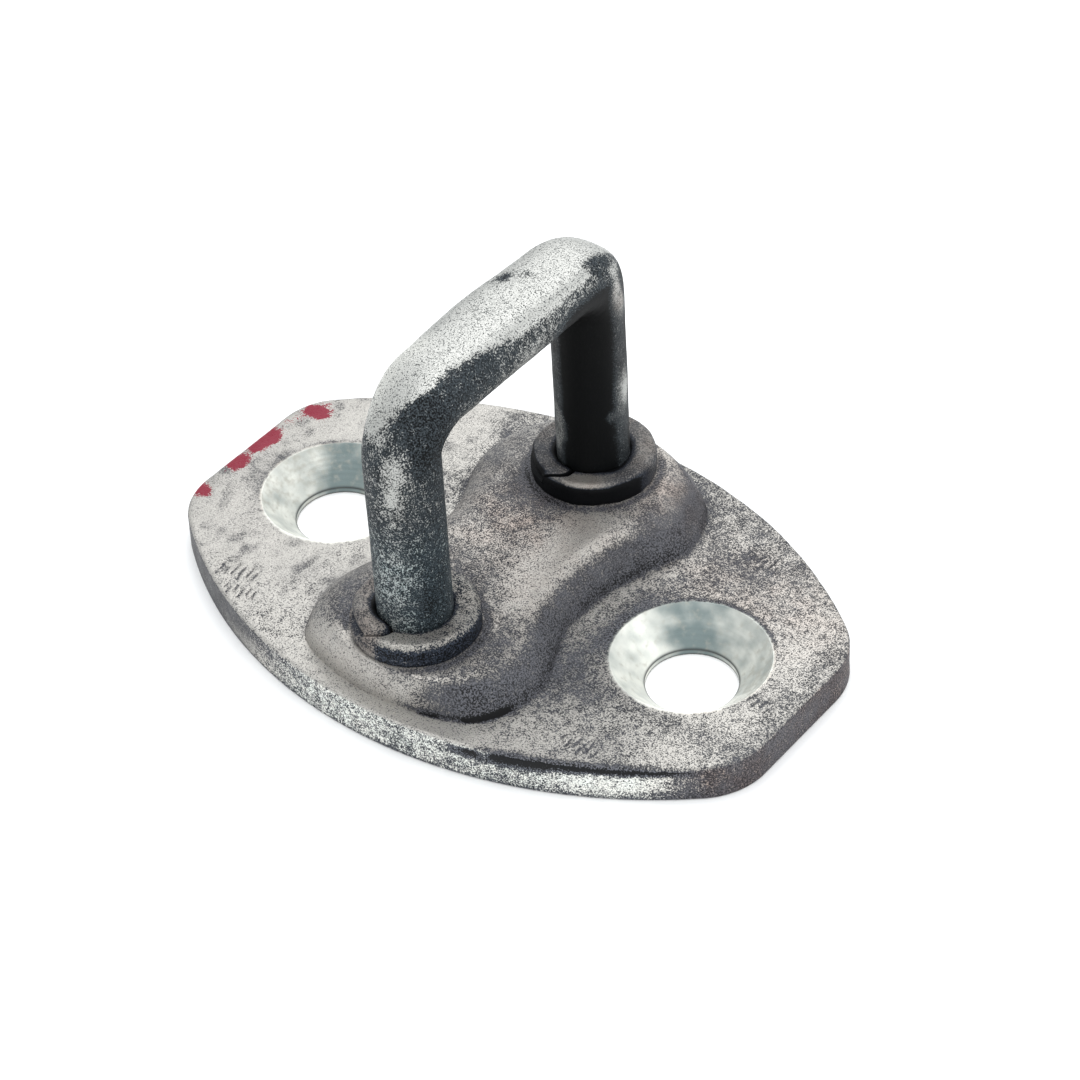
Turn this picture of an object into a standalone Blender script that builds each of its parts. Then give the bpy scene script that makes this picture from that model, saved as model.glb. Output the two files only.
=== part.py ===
"""Door latch striker: a pressed steel base plate, a bent round bar riveted through it as a
bow, and a split ring collar round the foot of each leg.

Metres, +Z up. The origin is the middle of the plate's underside, which bolts flat against
the door pillar. +X runs through the two screw holes and +Y from the front leg to the rear
leg, so the bow stands in the YZ plane.
"""

from math import asin, cos, pi, radians, sin, sqrt, tan

import bmesh
import bpy
from mathutils import Vector

MM = 0.001
FIT_GAP = 0.3 * MM  # clearance between neighbouring pieces

# Base plate blank: two straight ends joined by two long bulging edges
PLATE_LENGTH = 75.2 * MM
PLATE_WIDTH = 51.0 * MM
PLATE_THICKNESS = 4.2 * MM
LONG_EDGE_RADIUS = 54.0 * MM
PLATE_CORNER_RADIUS = 8.5 * MM
PLATE_TOP_ROUNDING = 0.5 * MM

# Countersunk holes for two M8 screws
SCREW_SPACING = 47.7 * MM
SCREW_HOLE_RADIUS = 4.95 * MM
COUNTERSINK_RADIUS = 8.5 * MM
COUNTERSINK_HALF_ANGLE = radians(45)

# Embossed pad across the middle of the plate, an hourglass in plan. Each outline is given by
# its half widths at the waist and belly, the reach and radius of its end arcs along Y, and
# how much of each side and end the rounded corner takes.
PAD_HEIGHT = 4.1 * MM
PAD_TOP = PLATE_THICKNESS + PAD_HEIGHT
PAD_SIDE_PERIOD = 27.5 * MM  # along Y, from the waist through the belly and back
PAD_SIDE_POWER = 1.4
PAD_FOOT = {
    "waist": 10.5 * MM,
    "belly": 14.1 * MM,
    "end_y": 23.4 * MM,
    "end_radius": 27 * MM,
    "corner": 2.2 * MM,
}
PAD_PLATEAU = {
    "waist": 6.2 * MM,
    "belly": 8.6 * MM,
    "end_y": 22.6 * MM,
    "end_radius": 17 * MM,
    "corner": 4.2 * MM,
}
FLANK_START = radians(22)  # a flank begins this far round its elliptical arc

# Pressed hollow under the pad, which takes the riveted ends of the bow
RECESS_DEPTH = 3.95 * MM
RECESS_MOUTH = {
    "waist": 7.0 * MM,
    "belly": 9.0 * MM,
    "end_y": 21.2 * MM,
    "end_radius": 20 * MM,
    "corner": 3.2 * MM,
}
RECESS_CEILING = {
    "waist": 5.6 * MM,
    "belly": 7.0 * MM,
    "end_y": 21.0 * MM,
    "end_radius": 14 * MM,
    "corner": 4.0 * MM,
}

# Bow: the round bar bent to two legs and a crown that is pressed flat on top
BAR_RADIUS = 4.0 * MM
LEG_Y = 15.5 * MM
BEND_RADIUS = 5.6 * MM  # of the bar's centre line
FRONT_CORNER_FULLNESS = -0.6 * MM  # the outer corner of this bend is pressed in
REAR_CORNER_FULLNESS = 0.9 * MM  # and that of the other one is squarer than round
CROWN_CENTRE_Z = 35.9 * MM
CROWN_TOP_Z = 39.1 * MM
CROWN_HALF_WIDTH = 4.4 * MM
CROWN_TOP_POWER = 0.62  # below 1 squares the upper half of the crown's section
FLATTENED_FROM = radians(75)  # turn of the bend at which the section is fully flattened
RIVET_HEAD_RADIUS = 5.2 * MM
RIVET_HEAD_HEIGHT = 2.6 * MM
RIVET_HEAD_ROUNDING = 0.8 * MM

# Collars: a split ring round the foot of each leg
COLLAR_OUTER_RADIUS = 6.9 * MM
COLLAR_HEIGHT = 2.4 * MM
COLLAR_TOP_ROUNDING = 0.9 * MM
COLLAR_FOOT_ROUNDING = 0.4 * MM
COLLAR_SPLIT_ANGLE = radians(268)  # direction of the split, from +X
COLLAR_SPLIT_GAP = 0.4 * MM
FRONT_COLLAR_RISE = 0.8 * MM  # how far one end of the ring stands above the other
REAR_COLLAR_RISE = 0.4 * MM
COLLAR_RISE_ARC = radians(110)

# Fineness of the facets
OUTLINE_STEPS = 12
ROUNDING_STEPS = 3
FLANK_STEPS = 6
HOLE_SIDES = 56
BAR_SIDES = 28
BEND_STEPS = 12
COLLAR_STEPS = 54
SHARP_ANGLE = radians(35)


def clear_scene():
    for obj in list(bpy.data.objects):
        bpy.data.objects.remove(obj, do_unlink=True)


def make_material(name, colour, roughness, metallic):
    material = bpy.data.materials.new(name)
    material.use_nodes = True
    shader = material.node_tree.nodes["Principled BSDF"]
    shader.inputs["Base Color"].default_value = (*colour, 1)
    shader.inputs["Roughness"].default_value = roughness
    shader.inputs["Metallic"].default_value = metallic
    material.diffuse_color = (*colour, 1)
    return material


def shade_round(mesh):
    mesh.shade_smooth()
    mesh.set_sharp_from_angle(angle=SHARP_ANGLE)


def add_object(name, bm):
    bmesh.ops.recalc_face_normals(bm, faces=bm.faces)
    mesh = bpy.data.meshes.new(name)
    bm.to_mesh(mesh)
    bm.free()
    shade_round(mesh)
    obj = bpy.data.objects.new(name, mesh)
    bpy.context.scene.collection.objects.link(obj)
    return obj


def loft(name, rings):
    """A closed solid through rings of equally many points, capped at both ends."""
    bm = bmesh.new()
    loops = [[bm.verts.new(point) for point in ring] for ring in rings]
    for near, far in zip(loops, loops[1:]):
        for i in range(len(near)):
            j = (i + 1) % len(near)
            bm.faces.new((near[i], near[j], far[j], far[i]))
    bm.faces.new(loops[0])
    bm.faces.new(loops[-1])
    return add_object(name, bm)


def steps_through(start, end, steps):
    """Evenly spaced values from start to end, both included."""
    return [start + (end - start) * i / steps for i in range(steps + 1)]


def smooth_share(t):
    """0 below t = 0, 1 above t = 1, and an S-curve between."""
    t = min(max(t, 0), 1)
    return t * t * (3 - 2 * t)


# Outlines in plan


def mirrored_outline(quarter):
    """The whole outline from the quarter that runs from (0, +y) round to (+x, 0)."""
    right = quarter + [(x, -y) for x, y in reversed(quarter[:-1])]
    return right + [(-x, y) for x, y in reversed(right[1:-1])]


def plate_outline(inset):
    """Outline of the blank, moved inwards by inset."""
    edge_centre_y = PLATE_WIDTH / 2 - LONG_EDGE_RADIUS
    corner_x = PLATE_LENGTH / 2 - PLATE_CORNER_RADIUS
    centre_distance = LONG_EDGE_RADIUS - PLATE_CORNER_RADIUS
    corner_y = edge_centre_y + sqrt(centre_distance**2 - corner_x**2)
    join = asin(corner_x / centre_distance)
    quarter = []
    for turn in steps_through(0, join, 2 * OUTLINE_STEPS)[:-1]:
        reach = LONG_EDGE_RADIUS - inset
        quarter.append((reach * sin(turn), edge_centre_y + reach * cos(turn)))
    for turn in steps_through(join, pi / 2, OUTLINE_STEPS):
        reach = PLATE_CORNER_RADIUS - inset
        quarter.append((corner_x + reach * sin(turn), corner_y + reach * cos(turn)))
    quarter.append((PLATE_LENGTH / 2 - inset, 0))
    return mirrored_outline(quarter)


def hourglass_outline(waist, belly, end_y, end_radius, corner):
    def side_x(y):
        swell = (1 - cos(2 * pi * y / PAD_SIDE_PERIOD)) / 2
        return waist + (belly - waist) * swell**PAD_SIDE_POWER

    def end_arc_y(x):
        return end_y - end_radius + sqrt(end_radius**2 - x**2)

    tip = Vector((side_x(end_y), end_y))
    for _ in range(20):  # settles where the side meets the end arc
        tip.y = end_arc_y(tip.x)
        tip.x = side_x(tip.y)
    arc_end = Vector((tip.x - corner, end_arc_y(tip.x - corner)))
    side_end = Vector((side_x(tip.y - corner), tip.y - corner))

    quarter = []
    for x in steps_through(0, arc_end.x, OUTLINE_STEPS)[:-1]:
        quarter.append((x, end_arc_y(x)))
    for t in steps_through(0, 1, OUTLINE_STEPS // 2)[:-1]:
        bend = arc_end * (1 - t) ** 2 + tip * 2 * t * (1 - t) + side_end * t**2
        quarter.append((bend.x, bend.y))
    for y in steps_through(side_end.y, 0, 2 * OUTLINE_STEPS):
        quarter.append((side_x(y), y))
    return mirrored_outline(quarter)


def at_height(outline, z):
    return [Vector((x, y, z)) for x, y in outline]


def domed_rings(foot, top, foot_z, height, steps):
    """Rings from a foot outline up an elliptical flank to a flat top outline."""
    rings = []
    for angle in steps_through(FLANK_START, pi / 2, steps):
        inwards = 1 - cos(angle) / cos(FLANK_START)
        upwards = (sin(angle) - sin(FLANK_START)) / (1 - sin(FLANK_START))
        ring = []
        for (x0, y0), (x1, y1) in zip(foot, top):
            x = x0 + (x1 - x0) * inwards
            y = y0 + (y1 - y0) * inwards
            ring.append(Vector((x, y, foot_z + height * upwards)))
        rings.append(ring)
    return rings


# Base plate


def blank_solid():
    """The flat blank, its top edge rounded over."""
    rings = [at_height(plate_outline(0), 0)]
    for turn in steps_through(0, pi / 2, ROUNDING_STEPS):
        inset = PLATE_TOP_ROUNDING * (1 - cos(turn))
        z = PLATE_THICKNESS - PLATE_TOP_ROUNDING * (1 - sin(turn))
        rings.append(at_height(plate_outline(inset), z))
    return loft("base_plate", rings)


def pad_solid():
    foot = hourglass_outline(**PAD_FOOT)
    plateau = hourglass_outline(**PAD_PLATEAU)
    root = at_height(foot, PLATE_THICKNESS / 2)
    flank = domed_rings(foot, plateau, PLATE_THICKNESS, PAD_HEIGHT, FLANK_STEPS)
    return loft("pad", [root] + flank)


def recess_cutter():
    mouth = hourglass_outline(**RECESS_MOUTH)
    ceiling = hourglass_outline(**RECESS_CEILING)
    below = at_height(mouth, -RECESS_DEPTH / 2)
    walls = domed_rings(mouth, ceiling, 0, RECESS_DEPTH, FLANK_STEPS // 2)
    return loft("recess_cutter", [below] + walls)


def turned_cutter(name, profile, x, y):
    """A cutter turned about a vertical axis from (radius, z) pairs, bottom first."""
    rings = []
    for radius, z in profile:
        turns = steps_through(0, 2 * pi, HOLE_SIDES)[:-1]
        rings.append([Vector((radius * cos(t), radius * sin(t), z)) for t in turns])
    cutter = loft(name, rings)
    cutter.location = (x, y, 0)
    return cutter


def screw_hole_cutter(x):
    """Through hole with a countersink that opens at the plate's top."""
    cone_depth = (COUNTERSINK_RADIUS - SCREW_HOLE_RADIUS) / tan(COUNTERSINK_HALF_ANGLE)
    profile = (
        (SCREW_HOLE_RADIUS, -PLATE_THICKNESS),
        (SCREW_HOLE_RADIUS, PLATE_THICKNESS - cone_depth),
        (COUNTERSINK_RADIUS, PLATE_THICKNESS),
        (COUNTERSINK_RADIUS, PLATE_THICKNESS * 2),
    )
    return turned_cutter("screw_hole_cutter", profile, x, 0)


def leg_hole_cutter(y):
    radius = BAR_RADIUS + FIT_GAP
    profile = ((radius, RECESS_DEPTH / 2), (radius, PAD_TOP * 2))
    return turned_cutter("leg_hole_cutter", profile, 0, y)


def combine(body, tool, operation):
    tool.hide_render = True
    tool.display_type = "WIRE"
    modifier = body.modifiers.new(tool.name, "BOOLEAN")
    modifier.operation = operation
    modifier.solver = "EXACT"
    modifier.object = tool


def settle(body, tools):
    """Keep the combined mesh, shade it, and remove the helper solids."""
    graph = bpy.context.evaluated_depsgraph_get()
    mesh = bpy.data.meshes.new_from_object(body.evaluated_get(graph))
    body.modifiers.clear()
    body.data = mesh
    shade_round(mesh)
    for tool in tools:
        bpy.data.objects.remove(tool, do_unlink=True)


def base_plate():
    body = blank_solid()
    pad = pad_solid()
    combine(body, pad, "UNION")
    cutters = [recess_cutter()]
    cutters += [screw_hole_cutter(x) for x in (-SCREW_SPACING / 2, SCREW_SPACING / 2)]
    cutters += [leg_hole_cutter(y) for y in (-LEG_Y, LEG_Y)]
    for cutter in cutters:
        combine(body, cutter, "DIFFERENCE")
    settle(body, [pad] + cutters)
    steel = make_material("worn_plate_steel", (0.36, 0.35, 0.34), 0.55, 0.8)
    body.data.materials.append(steel)


# Bow


def bar_section(centre, outward, turn, fullness):
    """Ring round the bar. Outward points away from the loop, turn is 0 on a leg and 90
    degrees on the crown, and fullness is what the bend's outer corner gains."""
    flatness = smooth_share(turn / FLATTENED_FROM)
    half_width = BAR_RADIUS + (CROWN_HALF_WIDTH - BAR_RADIUS) * flatness
    top_reach = BAR_RADIUS + (CROWN_TOP_Z - CROWN_CENTRE_Z - BAR_RADIUS) * flatness
    top_reach += fullness * sin(2 * turn) ** 2
    power = 1 + (CROWN_TOP_POWER - 1) * flatness
    ring = []
    for i in range(BAR_SIDES):
        across = cos(2 * pi * i / BAR_SIDES)
        away = sin(2 * pi * i / BAR_SIDES)
        if i < BAR_SIDES / 2:
            side = 1 if across > 0 else -1
            across = side * abs(across) ** power
            away = top_reach * abs(away) ** power
        else:
            away *= BAR_RADIUS
        ring.append(centre + Vector((half_width * across, 0, 0)) + outward * away)
    return ring


def rivet_profile():
    """(radius, z) up the riveted end, from the head's face to the leg's hole."""
    head_top = RECESS_DEPTH - FIT_GAP
    head_face = head_top - RIVET_HEAD_HEIGHT
    profile = []
    for turn in steps_through(-pi / 2, 0, ROUNDING_STEPS):
        radius = RIVET_HEAD_RADIUS - RIVET_HEAD_ROUNDING * (1 - cos(turn))
        profile.append((radius, head_face + RIVET_HEAD_ROUNDING * (1 + sin(turn))))
    return profile + [(RIVET_HEAD_RADIUS, head_top), (BAR_RADIUS, head_top)]


def half_bow_rings(side, fullness):
    """Rings from one riveted end up its leg and round the bend to the crown."""
    sideways = Vector((0, side, 0))
    upwards = Vector((0, 0, 1))
    foot = sideways * LEG_Y
    rings = []
    for radius, z in rivet_profile():
        ring = bar_section(Vector(), sideways, 0, 0)
        rings.append([foot + upwards * z + point * (radius / BAR_RADIUS) for point in ring])
    bend_z = CROWN_CENTRE_Z - BEND_RADIUS
    for z in steps_through(PAD_TOP, bend_z, 3)[:-1]:
        rings.append(bar_section(foot + upwards * z, sideways, 0, 0))
    bend_centre = sideways * (LEG_Y - BEND_RADIUS) + upwards * bend_z
    for turn in steps_through(0, pi / 2, BEND_STEPS):
        outward = sideways * cos(turn) + upwards * sin(turn)
        centre = bend_centre + outward * BEND_RADIUS
        rings.append(bar_section(centre, outward, turn, fullness))
    return rings


def striker_bow():
    """The bar as one sweep: rivet head, leg, bend, crown, bend, leg, rivet head."""
    front = half_bow_rings(-1, FRONT_CORNER_FULLNESS)
    rear = half_bow_rings(1, REAR_CORNER_FULLNESS)
    bow = loft("striker_bow", front + rear[::-1])
    bow.data.materials.append(make_material("worn_bar_steel", (0.20, 0.20, 0.20), 0.45, 0.85))


# Collars


def collar_section():
    """(radius, z) round the ring's section, from its inner foot outwards and up."""
    inner = BAR_RADIUS + FIT_GAP
    section = [(inner, 0)]
    for z, rounding, start in (
        (COLLAR_FOOT_ROUNDING, COLLAR_FOOT_ROUNDING, -pi / 2),
        (COLLAR_HEIGHT - COLLAR_TOP_ROUNDING, COLLAR_TOP_ROUNDING, 0),
    ):
        for turn in steps_through(start, start + pi / 2, ROUNDING_STEPS):
            radius = COLLAR_OUTER_RADIUS - rounding * (1 - cos(turn))
            section.append((radius, z + rounding * sin(turn)))
    section.append((inner, COLLAR_HEIGHT))
    return section


def split_collar(name, leg_y, rise, steel):
    """A ring that runs almost all the way round a leg, one end standing a little proud."""
    mean_radius = (BAR_RADIUS + COLLAR_OUTER_RADIUS) / 2
    gap_angle = COLLAR_SPLIT_GAP / mean_radius
    rings = []
    for travelled in steps_through(0, 2 * pi - gap_angle, COLLAR_STEPS):
        lift = rise * smooth_share(1 - travelled / COLLAR_RISE_ARC)
        angle = COLLAR_SPLIT_ANGLE - gap_angle / 2 - travelled
        direction = Vector((cos(angle), sin(angle), 0))
        ring = [direction * radius + Vector((0, 0, z + lift)) for radius, z in collar_section()]
        rings.append(ring)
    collar = loft(name, rings)
    collar.location = (0, leg_y, PAD_TOP + FIT_GAP)
    collar.data.materials.append(steel)


def main():
    clear_scene()
    base_plate()
    striker_bow()
    collar_steel = make_material("dark_collar_steel", (0.15, 0.15, 0.16), 0.5, 0.85)
    split_collar("front_collar", -LEG_Y, FRONT_COLLAR_RISE, collar_steel)
    split_collar("rear_collar", LEG_Y, REAR_COLLAR_RISE, collar_steel)


main()
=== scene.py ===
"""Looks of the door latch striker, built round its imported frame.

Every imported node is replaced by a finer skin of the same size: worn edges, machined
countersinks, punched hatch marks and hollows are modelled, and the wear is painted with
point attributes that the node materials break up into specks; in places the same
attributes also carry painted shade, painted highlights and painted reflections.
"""

from math import asin, ceil, cos, hypot, pi, radians, sin, sqrt, tan

import bmesh
import bpy
import numpy as np
from mathutils import Matrix, Vector, noise
from mathutils.geometry import delaunay_2d_cdt


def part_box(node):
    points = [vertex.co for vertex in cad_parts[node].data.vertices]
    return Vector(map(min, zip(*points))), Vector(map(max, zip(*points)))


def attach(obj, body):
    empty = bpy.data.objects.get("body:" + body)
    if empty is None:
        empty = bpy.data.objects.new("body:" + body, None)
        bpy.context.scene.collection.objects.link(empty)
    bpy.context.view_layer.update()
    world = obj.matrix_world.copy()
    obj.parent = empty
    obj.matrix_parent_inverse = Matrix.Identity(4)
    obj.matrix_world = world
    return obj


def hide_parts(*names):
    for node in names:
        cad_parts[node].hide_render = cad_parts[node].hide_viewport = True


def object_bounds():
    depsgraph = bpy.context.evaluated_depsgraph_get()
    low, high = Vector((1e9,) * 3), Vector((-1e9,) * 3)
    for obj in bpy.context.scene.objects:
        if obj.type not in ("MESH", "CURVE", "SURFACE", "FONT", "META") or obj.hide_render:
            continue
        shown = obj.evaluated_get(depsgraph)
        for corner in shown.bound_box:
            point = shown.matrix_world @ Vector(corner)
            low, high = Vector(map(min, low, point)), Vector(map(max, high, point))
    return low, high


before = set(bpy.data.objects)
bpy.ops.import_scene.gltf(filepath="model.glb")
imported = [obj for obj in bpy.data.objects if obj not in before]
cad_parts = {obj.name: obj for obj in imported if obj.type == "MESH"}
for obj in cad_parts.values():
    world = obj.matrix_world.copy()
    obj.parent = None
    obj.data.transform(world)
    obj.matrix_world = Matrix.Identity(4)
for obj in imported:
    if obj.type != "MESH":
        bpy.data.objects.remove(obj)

MM = 0.001
CAD_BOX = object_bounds()
PLATE_LOW, PLATE_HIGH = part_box("base_plate")
BOW_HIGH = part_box("striker_bow")[1]
FRONT_LOW, FRONT_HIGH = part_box("front_collar")
REAR_LOW, REAR_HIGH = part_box("rear_collar")

# Base plate
PLATE_LENGTH = PLATE_HIGH.x - PLATE_LOW.x
PLATE_WIDTH = PLATE_HIGH.y - PLATE_LOW.y
PLATE_THICKNESS = 4.2 * MM
LONG_EDGE_RADIUS = 54.0 * MM
PLATE_CORNER_RADIUS = 8.5 * MM
TOP_EDGE_ROUNDING = 0.4 * MM
BOTTOM_EDGE_ROUNDING = 0.2 * MM

# Screw holes
SCREW_X = 23.85 * MM
SCREW_HOLE_RADIUS = 4.95 * MM
COUNTERSINK_RADIUS = 8.5 * MM
COUNTERSINK_HALF_ANGLE = radians(45)
CONE_WIDTH = COUNTERSINK_RADIUS - SCREW_HOLE_RADIUS
CONE_DEPTH = CONE_WIDTH / tan(COUNTERSINK_HALF_ANGLE)
CONE_FOOT = PLATE_THICKNESS - CONE_DEPTH
CONE_SEAM = CONE_FOOT + 0.01 * MM
TOOL_MARK_PITCH = 0.62 * MM
TOOL_MARK_DEPTH = 0.006 * MM

# Short parallel ticks punched near the edge: centre x and y, length and spacing in mm, then
# the direction in degrees
TICK_GROUPS = (
    (-23.9, -16.3, 2.6, 0.8, 103),
    (-21.9, -18.7, 2, 0.7, 103),
    (22.6, -17.4, 2.3, 0.8, 90),
    (21.8, 16.4, 2.3, 0.8, 84),
    (33.4, -1.9, 1.9, 0.8, 78),
)
TICK_STAGGER = 0.25 * MM
TICK_HALF_WIDTH = 0.2 * MM
TICK_DEPTH = 0.11 * MM
TICK_GROUP_REACH = 2.8 * MM

# Pad and the pressed hollow under it
PAD_TOP = PLATE_HIGH.z
PAD_HEIGHT = PAD_TOP - PLATE_THICKNESS
PAD_FREE_Z = PLATE_THICKNESS + 0.8 * MM  # only the pad reaches above it
PAD_SIDE_PERIOD = 27.5 * MM
PAD_SIDE_POWER = 1.4
# Hourglass outlines: half width at the waist and the bellies, then the end's y, its radius
# and the size of its corners
PAD_FOOT = (10.5 * MM, 14.1 * MM, 23.4 * MM, 27 * MM, 2.2 * MM)
PAD_PLATEAU = (6.2 * MM, 8.6 * MM, 22.6 * MM, 17 * MM, 4.2 * MM)
FLANK_START = radians(22)
RECESS_DEPTH = 3.95 * MM
RECESS_MOUTH = (7.0 * MM, 9.0 * MM, 21.2 * MM, 20 * MM, 3.2 * MM)
RECESS_CEILING = (5.6 * MM, 7.0 * MM, 21.0 * MM, 14 * MM, 4.0 * MM)

# Bow
BAR_RADIUS = 4.0 * MM
LEG_BORE_RADIUS = BAR_RADIUS - 0.1 * MM
LEG_Y = (REAR_LOW.y + REAR_HIGH.y) / 2
BEND_RADIUS = 5.6 * MM
FRONT_CORNER_FULLNESS = -0.6 * MM
REAR_CORNER_FULLNESS = 0.9 * MM
CROWN_CENTRE_Z = 35.9 * MM
CROWN_TOP_Z = BOW_HIGH.z
CROWN_HALF_WIDTH = 4.4 * MM
FLATTENED_FROM = radians(75)
HARD_EDGE_POWER = 0.55  # 1 keeps the section round, less squares it
SOFT_EDGE_POWER = 0.9
BACK_EDGE_POWER = 0.6
CROWN_SPREAD = 0.6 * MM
CROWN_SPREAD_LENGTH = 7.5 * MM
RIVET_HEAD_RADIUS = BOW_HIGH.x
RIVET_HEAD_HEIGHT = 2.6 * MM
RIVET_HEAD_ROUNDING = 0.8 * MM
RIVET_FACE_RIPPLE = 0.1 * MM
RIVET_TOP = 3.65 * MM

# Collars: split rings whose tail end rides up beside the crease
COLLAR_RADIUS = FRONT_HIGH.x
COLLAR_BORE_RADIUS = BAR_RADIUS - 0.02 * MM
COLLAR_FOOT = FRONT_LOW.z
COLLAR_HEIGHT = 2.4 * MM
COLLAR_FLANGE = 1.0 * MM
COLLAR_DISH = 0.35 * MM
COLLAR_BEDDING = 0.42 * MM
CREASE_ANGLE = radians(-85)
CREASE_HOOK = radians(24)
CREASE_WIDTH = 0.14 * MM
CREASE_DEPTH = 0.9 * MM
CREASE_CROWDING = 0.9  # how much closer together the sections stand at the crease
TAIL_REACH = radians(100)
TAIL_INSET = 0.6 * MM
TAIL_END_SHARE = 0.4  # of the tail's shape at its very end, and all of it a turn later
TAIL_END_TURN = radians(12)
# How far each tail rides up, and how far it takes the tail's shape
FRONT_TAIL = (0.8 * MM, 1.0)
REAR_TAIL = (0.35 * MM, 0.5)
# Roundings of a ring's foot, top and inner top edge
RING_ROUNDINGS = (0.3 * MM, 0.95 * MM, 0.35 * MM)
TAIL_ROUNDINGS = (0.3 * MM, 1.2 * MM, 1.0 * MM)

# Relief: noises of (depth in mm, size of the lumps in mm, seed)
PLATE_RELIEF = ((0.030, 5.0, 3), (0.016, 1.6, 4), (0.012, 0.8, 5))
CONE_RELIEF = ((0.012, 2.4, 6),)
BAR_RELIEF = ((0.035, 5.5, 21), (0.022, 1.9, 22), (0.012, 0.9, 23))
COLLAR_RELIEF = ((0.09, 3.2, 41), (0.05, 1.3, 42))
PIT_DEPTH = 0.05  # also in mm

# Fineness of the skins
TOP_PITCH = 0.34 * MM
UNDER_PITCH = 0.8 * MM
MARK_PITCH = 0.13 * MM
EDGE_PITCH = 0.4 * MM
SHARP_ANGLE = radians(38)
SCREW_HOLE_SIDES = 128
CONE_STEPS = 44
LEG_BORE_SIDES = 64
PAD_FLANK_STEPS = 16
RECESS_FLANK_STEPS = 6
BAR_SIDES = 96
LEG_STEPS = 60
BEND_STEPS = 26
CROWN_STEPS = 22
COLLAR_STEPS = 240

# Tones: pale plating, the same plating where it is dull, and dark oxide
PLATE_TONES = ((0.49, 0.473, 0.442), (0.25, 0.24, 0.226), (0.036, 0.037, 0.042))
BAR_TONES = ((0.51, 0.512, 0.49), (0.28, 0.285, 0.28), (0.014, 0.0172, 0.0196))
COLLAR_TONES = ((0.42, 0.41, 0.38), (0.20, 0.195, 0.185), (0.012, 0.015, 0.021))
PLATE_SPECULAR = 0.3
OXIDE_SPECULAR = 0.15
BRIGHT_ZINC = (0.80, 0.80, 0.74)
# The teal zinc is a painted reflection of the darker surroundings in the countersinks
ZINC_IN_PAINTED_REFLECTION = (0.17, 0.215, 0.215)
MOTTLED_ZINC = (0.40, 0.385, 0.33)
ZINC_SPECK = (0.12, 0.12, 0.11)
ZINC_DIRT = (0.05, 0.055, 0.055)
BROWN_STAIN = (0.95, 0.66, 0.56)
OLD_RED = (0.21, 0.010, 0.028)

# Studio, with softboxes as (name, place in metres, width in metres, power in watts)
FLOOR_HALF_SIZE = 3.0
FLOOR_GAP = 0.02 * MM
FLOOR_COLOUR = (0.92, 0.92, 0.92)
FLOOR_ROUGHNESS = 0.6
SKY_COLOUR = (0.93, 0.96, 0.98)
SKY_STRENGTH = 0.93
LIGHT_AIM = Vector((0, 0, 20)) * MM
SOFTBOXES = (
    ("rear_softbox", (-0.35, 0.75, 0.75), 0.7, 3.9),
    ("overhead_softbox", (0.0, -0.05, 1.0), 0.8, 5.0),
    ("right_softbox", (0.85, 0.5, 0.5), 0.6, 2.6),
    ("front_softbox", (0.55, -0.95, 0.35), 0.5, 2.0),
)

# Camera
CAMERA_AZIMUTH = radians(39.443)
CAMERA_ELEVATION = radians(40.498)
CAMERA_ROLL = radians(-3.455)
CAMERA_DISTANCE = 393.3 * MM
CAMERA_TARGET = Vector((-3.573, 9.778, 0)) * MM
CAMERA_LENS = 119.21
SENSOR_WIDTH = 36.0
NEAREST_SEEN = 10 * MM
FARTHEST_SEEN = 20.0


# Numbers


def steps_through(start, end, steps):
    """Evenly spaced values from start to end, both included."""
    return np.linspace(start, end, steps + 1)


def smooth_share(t):
    """0 below t = 0, 1 above t = 1, and an S-curve between."""
    t = np.clip(t, 0, 1)
    return t * t * (3 - 2 * t)


def rise(value, start, end):
    """0 where value is at start, 1 at end, and smooth between."""
    return smooth_share((value - start) / (end - start))


def between(value, start, full, fade, end):
    """1 from full to fade, 0 outside start and end, and smooth between."""
    return rise(value, start, full) * rise(value, end, fade)


def bell(value, middle, width):
    """1 at the middle, fading to 0 on both sides."""
    return np.exp(-(((value - middle) / width) ** 2))


def spot(points, centre, reach):
    """1 at a centre, fading to 0 over its reach in each direction, all in mm. With no z
    it is the same at every height."""
    spread = ((points[:, : len(centre)] / MM - centre) / reach) ** 2
    return np.exp(-spread.sum(axis=1))


def patches(points, places):
    """The sum of spots, each (its centre, as many reaches, its strength)."""
    total = np.zeros(len(points))
    for *place, strength in places:
        half = len(place) // 2
        total += strength * spot(points, place[:half], place[half:])
    return total


def cloud(points, size, seed=0.0):
    """Smooth noise from about -1 to 1 with lumps of that size in mm."""
    shift = Vector((seed, 2.3 * seed, -1.7 * seed))
    scaled = points / (size * MM)
    return np.array([noise.noise(Vector(point) + shift) for point in scaled])


def relief(points, layers):
    """An uneven surface's height in mm, from noises of (depth, size, seed)."""
    return sum(depth * cloud(points, size, seed) for depth, size, seed in layers)


def arc(centre, radius, start, end, steps):
    """Points round part of a circle."""
    turns = steps_through(start, end, steps)
    return [(centre[0] + radius * cos(turn), centre[1] + radius * sin(turn)) for turn in turns]


# Skins


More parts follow.
